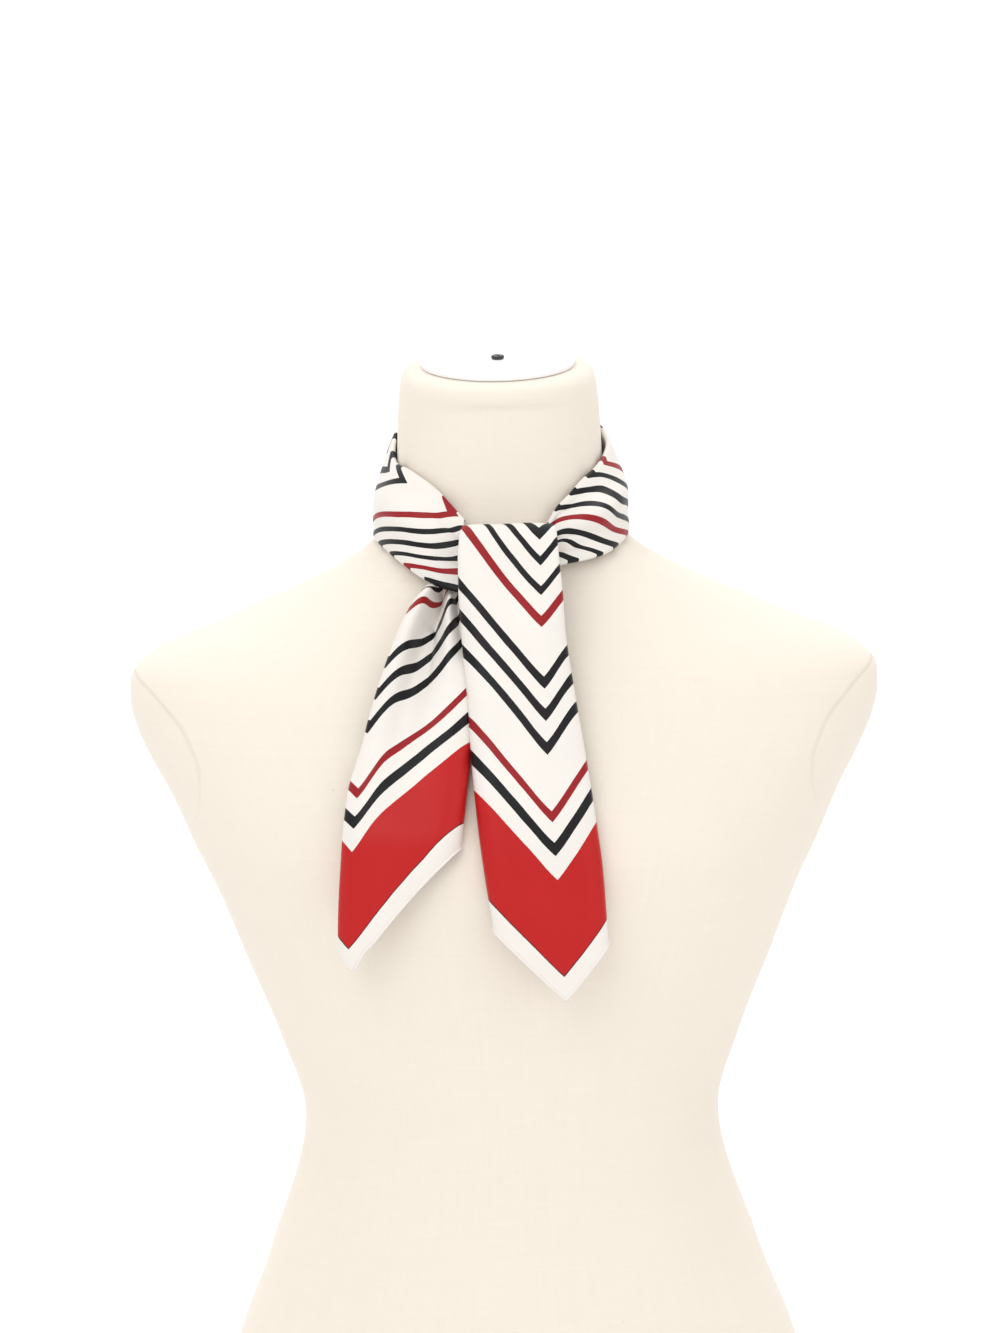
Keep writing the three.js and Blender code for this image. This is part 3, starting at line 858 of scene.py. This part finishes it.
def silk_material():
    """Ivory silk twill, printed with stripes parallel to the sides of the square."""
    settings = bpy.context.scene.silk_square
    names = ("ground", "black", "red", "band", "edge")
    colours = {name: tuple(getattr(settings, name)) for name in names}
    material, tree, shader = new_material("printed_silk_twill")
    flat = tree.nodes.new("ShaderNodeUVMap")
    flat.uv_map = FLAT_MAP
    place = flat.outputs["UV"]
    parts = tree.nodes.new("ShaderNodeSeparateXYZ")
    tree.links.new(place, parts.inputs["Vector"])
    side = SQUARE_SIDE * MM
    from_sides = []
    for axis in ("X", "Y"):
        far = math_node(tree, "SUBTRACT", side, parts.outputs[axis])
        from_sides.append(math_node(tree, "MINIMUM", parts.outputs[axis], far))
    distance = math_node(tree, "MINIMUM", *from_sides)
    waver = math_node(tree, "SUBTRACT", noise(tree, place, 90.0, 3.0), 0.5)
    distance = math_node(tree, "ADD", distance, math_node(tree, "MULTIPLY", waver, 0.0006))
    split = STRIPE_SPLIT * MM
    outer = math_node(tree, "DIVIDE", distance, split)
    past_split = math_node(tree, "SUBTRACT", distance, split)
    inner = math_node(tree, "DIVIDE", past_split, side / 2 - split)
    outer_print = ramp(tree, outer, stripe_stops(0, STRIPE_SPLIT, colours), "CONSTANT")
    inner_stops = stripe_stops(STRIPE_SPLIT, SQUARE_SIDE / 2, colours)
    inner_print = ramp(tree, inner, inner_stops, "CONSTANT")
    inside = math_node(tree, "GREATER_THAN", distance, split)
    printed = mix_colour(tree, inside, outer_print, inner_print)
    shades = [(0.3, (0.95, 0.95, 0.96)), (0.7, (1.0, 1.0, 1.0))]
    cloudy = ramp(tree, noise(tree, place, 24.0, 4.0), shades)
    tree.links.new(mix_colour(tree, 1.0, printed, cloudy, "MULTIPLY"), shader.inputs["Base Color"])
    twill = ribs(tree, place, settings.twill)
    grain = noise(tree, place, 1400.0, 2.0)
    bumped(tree, shader, math_node(tree, "ADD", twill, grain), 0.12, 0.0001)
    worn = scaled(tree, noise(tree, place, 60.0, 3.0), 0.12, settings.roughness - 0.06)
    tree.links.new(worn, shader.inputs["Roughness"])
    shader.inputs["Specular IOR Level"].default_value = 0.22
    shader.inputs["Sheen Weight"].default_value = 0.03
    shader.inputs["Sheen Roughness"].default_value = 0.4
    return material


def linen_material():
    """Plain cream linen with slubs, small flecks and the shoulder plates' seams, as grooves with
    painted shade.
    """
    settings = bpy.context.scene.linen_form
    material, tree, shader = new_material("cream_linen")
    weave = tree.nodes.new("ShaderNodeUVMap")
    weave.uv_map = WEAVE_MAP
    place = weave.outputs["UV"]
    across = ribs(tree, place, settings.thread, "X")
    up = ribs(tree, place, settings.thread, "Y")
    slub_level = noise(tree, mapped(tree, place, scale=(18, 520, 1)), 1.0, 3.0)
    slub_upright = noise(tree, mapped(tree, place, scale=(520, 18, 1)), 1.0, 3.0)
    slubs = math_node(tree, "ADD", slub_level, slub_upright)
    threads = math_node(tree, "ADD", across, up)
    coordinates = tree.nodes.new("ShaderNodeTexCoord")
    where = coordinates.outputs["Object"]
    clouds = noise(tree, where, 7.0, 3.0)
    linen = Vector(settings.linen)
    light = [min(1.0, c * 1.02) for c in linen]
    dark = [c * 0.965 for c in linen]
    tone = math_node(tree, "MULTIPLY_ADD", slubs, 0.28)
    tree.links.new(math_node(tree, "MULTIPLY", clouds, 0.45), tone.node.inputs[2])
    cloth = ramp(tree, tone, [(0.30, dark), (0.72, light)])
    flecks = tree.nodes.new("ShaderNodeTexVoronoi")
    flecks.inputs["Scale"].default_value = 70.0
    flecks.inputs["Randomness"].default_value = 1.0
    tree.links.new(where, flecks.inputs["Vector"])
    chosen = tree.nodes.new("ShaderNodeSeparateColor")
    tree.links.new(flecks.outputs["Color"], chosen.inputs["Color"])
    near = math_node(tree, "LESS_THAN", flecks.outputs["Distance"], 0.045)
    some = math_node(tree, "GREATER_THAN", chosen.outputs["Red"], 0.8)
    fleck = math_node(tree, "MULTIPLY", math_node(tree, "MULTIPLY", near, some), 0.4)
    # Colour of the dark flecks, also used for the painted shade along the seams
    fleck_and_seam_shade_colour = [c * f for c, f in zip(linen, (0.72, 0.66, 0.58))]
    cloth = mix_colour(tree, fleck, cloth, fleck_and_seam_shade_colour)
    ring = tree.nodes.new("ShaderNodeVectorMath")
    ring.operation = "LENGTH"
    middle = (0, -PLATE_Y / PLATE_HALF_DEPTH, -PLATE_Z / PLATE_HALF_HEIGHT)
    scale = (0, 1 / (PLATE_HALF_DEPTH * MM), 1 / (PLATE_HALF_HEIGHT * MM))
    tree.links.new(mapped(tree, where, middle, scale), ring.inputs[0])
    parts = tree.nodes.new("ShaderNodeSeparateXYZ")
    tree.links.new(where, parts.inputs["Vector"])
    outside = math_node(tree, "ABSOLUTE", parts.outputs["X"])
    at_side = math_node(tree, "GREATER_THAN", outside, PLATE_OUT * MM)
    gap = math_node(tree, "ABSOLUTE", math_node(tree, "SUBTRACT", ring.outputs["Value"], 1.0))
    off_seam = math_node(tree, "MULTIPLY", gap, SEAM_SHARPNESS)
    seam = math_node(tree, "SUBTRACT", 1.0, off_seam, clamp=True)
    seam = math_node(tree, "MULTIPLY", seam, at_side)
    fading = scaled(tree, parts.outputs["Z"], SEAM_FADE, -SEAM_FADE_START, clamp=True)
    seam = math_node(tree, "MULTIPLY", seam, fading)
    # Painted shade: the seam line is darkened as if shaded in its groove, fading out lower down
    cloth = mix_colour(tree, math_node(tree, "MULTIPLY", seam, 0.35), cloth, fleck_and_seam_shade_colour)
    tree.links.new(cloth, shader.inputs["Base Color"])
    relief = math_node(tree, "ADD", math_node(tree, "MULTIPLY", threads, 0.3), slubs)
    relief = math_node(tree, "SUBTRACT", relief, math_node(tree, "MULTIPLY", seam, 6.0))
    bumped(tree, shader, relief, 0.25, 0.00025)
    rough = scaled(tree, clouds, 0.1, 0.82)
    tree.links.new(rough, shader.inputs["Roughness"])
    shader.inputs["Specular IOR Level"].default_value = 0.2
    shader.inputs["Sheen Weight"].default_value = 0.2
    return material


def moulded_material(name, colour, roughness, metallic=0.0):
    """Moulded or painted surface with faint mottling and fine scratches."""
    material, tree, shader = new_material(name)
    coordinates = tree.nodes.new("ShaderNodeTexCoord")
    where = coordinates.outputs["Object"]
    mottled = noise(tree, where, 60.0, 4.0)
    dark = [c * 0.94 for c in colour]
    finish = ramp(tree, mottled, [(0.3, dark), (0.7, tuple(colour))])
    tree.links.new(finish, shader.inputs["Base Color"])
    rough = scaled(tree, noise(tree, where, 240.0, 3.0), 0.15, roughness)
    tree.links.new(rough, shader.inputs["Roughness"])
    shader.inputs["Metallic"].default_value = metallic
    bumped(tree, shader, noise(tree, where, 900.0, 2.0), 0.08, 0.0001)
    return material


def shared_material(name, make):
    return bpy.data.materials.get(name) or make()


def silk():
    return shared_material("printed_silk_twill", silk_material)


def add_cloth(name, bm, nodes):
    settings = bpy.context.scene.silk_square
    mesh = shaded(to_mesh(bm, name), silk())
    piece = link(name, mesh)
    shell = piece.modifiers.new("silk thickness", "SOLIDIFY")
    shell.thickness = settings.thickness
    shell.offset = 0
    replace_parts(piece, *nodes)


def tube_mesh(name, path, radius, sides, places):
    """A closed tube along a path of points in millimetres, each with its place on the square."""
    tangents = []
    for i in range(len(path)):
        before = path[max(i - 1, 0)]
        after = path[min(i + 1, len(path) - 1)]
        tangents.append((after - before).normalized())
    side = tangents[0].orthogonal().normalized()
    sides_at = []
    for tangent in tangents:
        side = (side - tangent * side.dot(tangent)).normalized()
        sides_at.append(side.copy())

    def place(column, row):
        turn = 2 * math.pi * column / sides
        other = tangents[row].cross(sides_at[row])
        offset = sides_at[row] * math.cos(turn) + other * math.sin(turn)
        end = TUBE_END if row in (0, len(path) - 1) else 1.0
        return path[row] + offset * (radius * end), places[row]

    bm = shaped_grid(sides + 1, len(path), place, FLAT_MAP)
    close_tube(bm)
    return shaded(to_mesh(bm, name), silk())


def tail_hem(name, rows, shape):
    """The rolled hem along the two sides of the square that meet at a tail's corner."""
    settings = bpy.context.scene.silk_square
    path = []
    places = []
    for width in tail_widths(rows, shape["flaps"]):
        point, flat = tail_place(rows, shape, (), width, HEM_RISE)
        path.append(point)
        places.append(flat)
    mesh = tube_mesh(name, path, settings.hem_radius / MM, HEM_SIDES, places)
    return link(name, mesh)


class SCARF_OT_front_tail(bpy.types.Operator):
    """Makes the broad front tail, rolled over the knot, with its hem and loose threads"""
    bl_idname = "scarf.front_tail"
    bl_label = "Front tail"

    def execute(self, context):
        hem = tail_hem("silk_front_hem", TAIL_FRONT, FRONT_SHAPE)
        for i, (right, forward, up) in enumerate(THREAD_ENDS):
            start, flat = tail_place(TAIL_FRONT, FRONT_SHAPE, (), 1.0, HEM_RISE)
            path = []
            for f in spread(0, 1, THREAD_POINTS):
                bend = math.sin(math.pi * f) * (THREAD_BEND - i)
                path.append(start + Vector((right * f + bend, forward * f, up * f)))
            mesh = tube_mesh(f"silk_loose_thread_{i + 1}", path, THREAD_RADIUS, THREAD_SIDES,
                             [flat] * len(path))
            link(mesh.name, mesh)
        bm = tail(TAIL_FRONT, FRONT_SHAPE, FRONT_CREASES)
        add_cloth("silk_front_tail", bm, ["scarf_tail_front"])
        return {"FINISHED"}


class SCARF_OT_under_tail(bpy.types.Operator):
    """Makes the under tail, gathered below the knot, with its hem"""
    bl_idname = "scarf.under_tail"
    bl_label = "Under tail"

    def execute(self, context):
        hem = tail_hem("silk_under_hem", TAIL_UNDER, UNDER_SHAPE)
        bm = tail(TAIL_UNDER, UNDER_SHAPE, UNDER_CREASES)
        add_cloth("silk_under_tail", bm, ["scarf_tail_under"])
        return {"FINISHED"}


class SCARF_OT_neck_loops(bpy.types.Operator):
    """Makes the folded band round the neck, in its left, right and back stretches"""
    bl_idname = "scarf.neck_loops"
    bl_label = "Neck loops"

    def execute(self, context):
        left = neck_band(LOOP_LEFT, PRINT_LEFT, BAND_STEPS, FOLD_RADIUS, LEFT_CREASES)
        add_cloth("silk_left_loop", left, ["scarf_loop_left"])
        right = neck_band(LOOP_RIGHT, PRINT_RIGHT, BAND_STEPS, FOLD_RADIUS, RIGHT_CREASES)
        add_cloth("silk_right_loop", right, ["scarf_loop_right"])
        back = neck_band(LOOP_BACK, PRINT_BACK, BACK_STEPS, FOLD_RADIUS)
        add_cloth("silk_back_loop", back, ["scarf_loop_back"])
        return {"FINISHED"}


class SCARF_OT_knot(bpy.types.Operator):
    """Makes the crossing of the knot under the front tail"""
    bl_idname = "scarf.knot"
    bl_label = "Knot"

    def execute(self, context):
        bm = neck_band(KNOT, PRINT_KNOT, KNOT_STEPS, KNOT_FOLD_RADIUS)
        add_cloth("silk_knot", bm, ["scarf_knot"])
        return {"FINISHED"}


class FORM_OT_linen_body(bpy.types.Operator):
    """Makes the linen covered body of the form"""
    bl_idname = "form.linen_body"
    bl_label = "Linen body"

    def execute(self, context):
        low = FORM_SECTIONS[0]["z"]
        high = FORM_SECTIONS[-1]["z"]

        def place(column, row):
            turn = 2 * math.pi * column / FORM_SIDES
            share = row / (FORM_STEPS - 1)
            z = mix(low, high, share)
            point = form_point(turn, z)
            return point, (turn * WEAVE_REACH, z * MM)

        bm = shaped_grid(FORM_SIDES + 1, FORM_STEPS, place, WEAVE_MAP)
        close_tube(bm)
        foot = [e for e in bm.edges if all(v.co.z < 0.0001 for v in e.verts)]
        bmesh.ops.bevel(bm, geom=foot, offset=FOOT_ROUND * MM, segments=3, profile=0.5,
                        affect="EDGES", material=-1)
        mesh = shaded(to_mesh(bm, "linen_body"), shared_material("cream_linen", linen_material))
        mesh.set_sharp_from_angle(angle=math.radians(50))
        piece = link("linen_body", mesh)
        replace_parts(piece, "form_body")
        return {"FINISHED"}


def neck_top():
    """The frame of the neck's sloping top."""
    rim = FORM_SECTIONS[-1]
    centre = (rim["back"] - rim["front"]) / 2
    slope = math.radians(rim["slope"])
    at = Vector((0, centre, rim["z"] + centre * math.tan(slope))) * MM
    return Matrix.Translation(at) @ Matrix.Rotation(slope, 4, "X")


def rounded_disc(radius, height, edge):
    bm = bmesh.new()
    bmesh.ops.create_cone(bm, cap_ends=True, cap_tris=False, segments=DISC_SIDES,
                          radius1=radius * MM, radius2=radius * MM, depth=height * MM)
    bmesh.ops.translate(bm, vec=(0, 0, height * MM / 2), verts=bm.verts)
    rims = [e for e in bm.edges if abs(e.verts[0].co.z - e.verts[1].co.z) < 0.00001]
    bmesh.ops.bevel(bm, geom=rims, offset=edge * MM, segments=4, profile=0.5,
                    affect="EDGES", material=-1)
    return bm


def seated(name, bm, lift, finish):
    """Sets a disc on the neck's sloping top, at its lift, and finishes it."""
    bmesh.ops.translate(bm, vec=(0, 0, lift * MM), verts=bm.verts)
    bmesh.ops.transform(bm, matrix=neck_top(), verts=bm.verts)
    mesh = shaded(to_mesh(bm, name), finish)
    mesh.set_sharp_from_angle(angle=math.radians(40))
    return mesh


class FORM_OT_neck_cap(bpy.types.Operator):
    """Makes the white cap on the neck and its slotted screw"""
    bl_idname = "form.neck_cap"
    bl_label = "Neck cap"

    def execute(self, context):
        settings = context.scene.linen_form
        bm = rounded_disc(CAP_RADIUS, CAP_THICKNESS, CAP_EDGE)
        white = moulded_material("white_cap", settings.cap, 0.38)
        mesh = seated("neck_cap", bm, SEAT_GAP, white)
        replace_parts(link("neck_cap", mesh), "form_neck_cap")
        bm = rounded_disc(SCREW_RADIUS, SCREW_HEIGHT, SCREW_EDGE)
        slot = (SCREW_SLOT_WIDTH * MM / 2, 0, 0)
        for side in (-1, 1):
            bmesh.ops.bisect_plane(bm, geom=bm.verts[:] + bm.edges[:] + bm.faces[:],
                                   plane_co=Vector(slot) * side, plane_no=(1, 0, 0))
        head = SCREW_HEIGHT * MM - WELD
        floor = [f for f in bm.faces
                 if f.normal.z > 0.9 and f.calc_center_median().z > head
                 and abs(f.calc_center_median().x) < slot[0]]
        made = bmesh.ops.extrude_face_region(bm, geom=floor)
        moved = [v for v in made["geom"] if isinstance(v, bmesh.types.BMVert)]
        bmesh.ops.translate(bm, vec=(0, 0, -SCREW_SLOT_DEPTH * MM), verts=moved)
        bmesh.ops.delete(bm, geom=floor, context="FACES_ONLY")
        bmesh.ops.rotate(bm, verts=bm.verts, matrix=Matrix.Rotation(settings.slot_turn, 3, "Z"))
        dark = moulded_material("dark_screw", (0.05, 0.05, 0.052), 0.35, 0.6)
        mesh = seated("cap_screw", bm, SEAT_GAP + CAP_THICKNESS + SEAT_GAP, dark)
        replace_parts(link("cap_screw", mesh), "form_cap_screw")
        return {"FINISHED"}


def area_light(name, place, target, size, power):
    data = bpy.data.lights.new(name, "AREA")
    data.shape = "RECTANGLE"
    data.size = size[0]
    data.size_y = size[1]
    data.energy = power
    light = bpy.data.objects.new(name, data)
    light.location = place
    light.rotation_euler = (Vector(target) - Vector(place)).to_track_quat("-Z", "Y").to_euler()
    bpy.context.scene.collection.objects.link(light)


class STUDIO_OT_stage(bpy.types.Operator):
    """Makes the camera, the white sweep and the soft light"""
    bl_idname = "studio.stage"
    bl_label = "Studio"

    def execute(self, context):
        settings = context.scene.studio
        scene = context.scene
        lift = math.radians(VIEW_ELEVATION)
        eye = VIEW_TARGET + VIEW_DISTANCE * Vector((0, -math.cos(lift), math.sin(lift)))
        data = bpy.data.cameras.new("view")
        data.lens = VIEW_LENS
        data.sensor_width = VIEW_SENSOR
        camera = bpy.data.objects.new("view", data)
        look = (VIEW_TARGET - eye).to_track_quat("-Z", "Y").to_matrix().to_4x4()
        roll = Matrix.Rotation(math.radians(-VIEW_ROLL), 4, "Z")
        camera.matrix_world = Matrix.Translation(eye) @ look @ roll
        scene.collection.objects.link(camera)
        scene.camera = camera
        bm = bmesh.new()
        sweep = [(SWEEP_FRONT, 0.0), (SWEEP_BEND, 0.0)]
        for i in range(1, settings.sides + 1):
            turn = math.pi / 2 * i / settings.sides
            y = SWEEP_BEND + SWEEP_RADIUS * math.sin(turn)
            sweep.append((y, SWEEP_RADIUS * (1 - math.cos(turn))))
        sweep.append((SWEEP_BEND + SWEEP_RADIUS, SWEEP_TOP))
        verts = [bm.verts.new((-SWEEP_HALF_WIDTH, y, z)) for y, z in sweep]
        edges = [bm.edges.new(pair) for pair in zip(verts, verts[1:])]
        made = bmesh.ops.extrude_edge_only(bm, edges=edges)
        moved = [v for v in made["geom"] if isinstance(v, bmesh.types.BMVert)]
        bmesh.ops.translate(bm, vec=(2 * SWEEP_HALF_WIDTH, 0, 0), verts=moved)
        bmesh.ops.recalc_face_normals(bm, faces=bm.faces)
        finish = moulded_material("white_sweep", settings.backdrop, 0.8)
        mesh = shaded(to_mesh(bm, "white_sweep"), finish)
        backdrop = bpy.data.objects.new("white_sweep", mesh)
        scene.collection.objects.link(backdrop)
        world = bpy.data.worlds.new("soft surround")
        world.use_nodes = True
        background = world.node_tree.nodes["Background"]
        background.inputs["Color"].default_value = (1.0, 0.995, 0.985, 1.0)
        background.inputs["Strength"].default_value = settings.surround
        scene.world = world
        area_light("front light", (-0.9, -2.3, 1.8), (0, 0, 0.45), (1.7, 1.4), settings.key)
        area_light("top light", (-0.3, -0.5, 2.3), (0, 0, 0.5), (1.4, 1.4), settings.key * 0.25)
        area_light("fill light", (1.6, -1.9, 1.2), (0, 0, 0.45), (1.4, 1.4), settings.key * 0.4)
        area_light("backdrop light", (0, 1.2, 3.0), (0, 2.8, 0.9), (3.0, 0.8),
                   settings.backdrop_light)
        scene.view_settings.view_transform = "Standard"
        return {"FINISHED"}


class SCARF_PT_panel(bpy.types.Panel):
    """Lists the pieces of the scarf and its form"""
    bl_idname = "SCARF_PT_panel"
    bl_label = "Silk square"
    bl_space_type = "VIEW_3D"
    bl_region_type = "UI"
    bl_category = "Scarf"

    def draw(self, context):
        for settings in (context.scene.silk_square, context.scene.linen_form, context.scene.studio):
            for name in settings.__annotations__:
                self.layout.prop(settings, name)
        for operator in OPERATORS:
            self.layout.operator(operator.bl_idname)


SETTINGS = {
    "silk_square": SilkSquareSettings,
    "linen_form": LinenFormSettings,
    "studio": StudioSettings,
}
OPERATORS = (
    STUDIO_OT_stage,
    FORM_OT_linen_body,
    FORM_OT_neck_cap,
    SCARF_OT_neck_loops,
    SCARF_OT_knot,
    SCARF_OT_under_tail,
    SCARF_OT_front_tail,
)
CLASSES = (*SETTINGS.values(), *OPERATORS, SCARF_PT_panel)


def register():
    for cls in CLASSES:
        bpy.utils.register_class(cls)
    for name, group in SETTINGS.items():
        setattr(bpy.types.Scene, name, PointerProperty(type=group))


def unregister():
    for name in SETTINGS:
        delattr(bpy.types.Scene, name)
    for cls in reversed(CLASSES):
        bpy.utils.unregister_class(cls)


def main():
    register()
    bpy.ops.studio.stage()
    bpy.ops.form.linen_body()
    bpy.ops.form.neck_cap()
    bpy.ops.scarf.neck_loops()
    bpy.ops.scarf.knot()
    bpy.ops.scarf.under_tail()
    bpy.ops.scarf.front_tail()


if __name__ == "__main__":
    main()
